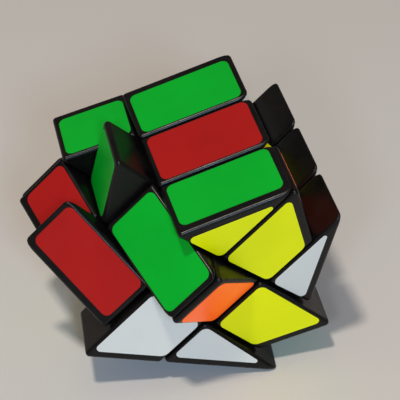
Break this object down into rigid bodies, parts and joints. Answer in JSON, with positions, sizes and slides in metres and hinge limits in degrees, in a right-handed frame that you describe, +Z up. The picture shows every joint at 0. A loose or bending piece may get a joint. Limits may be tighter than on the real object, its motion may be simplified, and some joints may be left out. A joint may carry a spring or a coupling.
{
  "type": "pinwheel puzzle cube",
  "caption": "Shape-shifting twisty puzzle cube with black moulded pieces and coloured stickers, scrambled, its left layer and middle slice partly turned.",
  "frame": {"origin": "bottom centre of the bounding box of the puzzle as it rests on the tips of its left layer", "axes": "+Z up from the surface it rests on; -Y is the front, where the camera stood; +X is to the right"},
  "size_m": [0.087, 0.082, 0.0716],
  "materials": {
    "black_shell": "glossy moulded black plastic",
    "black_mechanism": "satin moulded black plastic",
    "core_plastic": "satin off-white plastic",
    "steel": "zinc-plated steel",
    "sticker_white": "smooth vinyl sticker",
    "sticker_yellow": "smooth vinyl sticker",
    "sticker_red": "smooth vinyl sticker",
    "sticker_orange": "smooth vinyl sticker",
    "sticker_green": "smooth vinyl sticker",
    "sticker_blue": "smooth vinyl sticker"
  },
  "bodies": {
    "middle_slice": {"axle_screw_blue": "steel", "axle_screw_green": "steel", "axle_screw_orange": "steel", "axle_screw_red": "steel", "axle_screw_white": "steel", "axle_screw_yellow": "steel", "cap_blue": "black_shell", "cap_green": "black_shell", "cap_orange": "black_shell", "cap_red": "black_shell", "centre_post_blue": "black_mechanism", "centre_post_green": "black_mechanism", "centre_post_orange": "black_mechanism", "centre_post_red": "black_mechanism", "core": "core_plastic", "edge_belt_green": "black_shell", "edge_white_green": "black_shell", "edge_yellow_blue": "black_shell", "edge_yellow_green": "black_shell", "spring_blue": "steel", "spring_green": "steel", "spring_orange": "steel", "spring_red": "steel", "spring_white": "steel", "spring_yellow": "steel", "washer_blue": "steel", "washer_green": "steel", "washer_orange": "steel", "washer_red": "steel", "washer_white": "steel", "washer_yellow": "steel"},
    "right_layer": {"corner_yellow_green": "black_shell", "corner_white_green": "black_shell", "corner_white_orange": "black_shell", "corner_yellow_red": "black_shell", "edge_belt_red": "black_shell", "edge_yellow_orange": "black_shell", "edge_white_orange": "black_shell", "edge_belt_blue": "black_shell", "cap_yellow": "black_shell", "centre_post_yellow": "black_mechanism"},
    "left_layer": {"corner_white_red": "black_shell", "corner_yellow_orange": "black_shell", "corner_white_blue": "black_shell", "corner_yellow_blue": "black_shell", "edge_yellow_red": "black_shell", "edge_white_blue": "black_shell", "edge_white_red": "black_shell", "edge_belt_orange": "black_shell", "cap_white": "black_shell", "centre_post_white": "black_mechanism"}
  },
  "joints": [
    {"name": "right_layer_turn", "type": "hinge", "parent": "middle_slice", "child": "right_layer", "pos_m": [0.00355, -0.00173, 0.03382], "axis": [0.7035, 0.0709, 0.7071], "continuous": true},
    {"name": "left_layer_turn", "type": "hinge", "parent": "middle_slice", "child": "left_layer", "pos_m": [0.00355, -0.00173, 0.03382], "axis": [0.7035, 0.0709, 0.7071], "continuous": true}
  ]
}
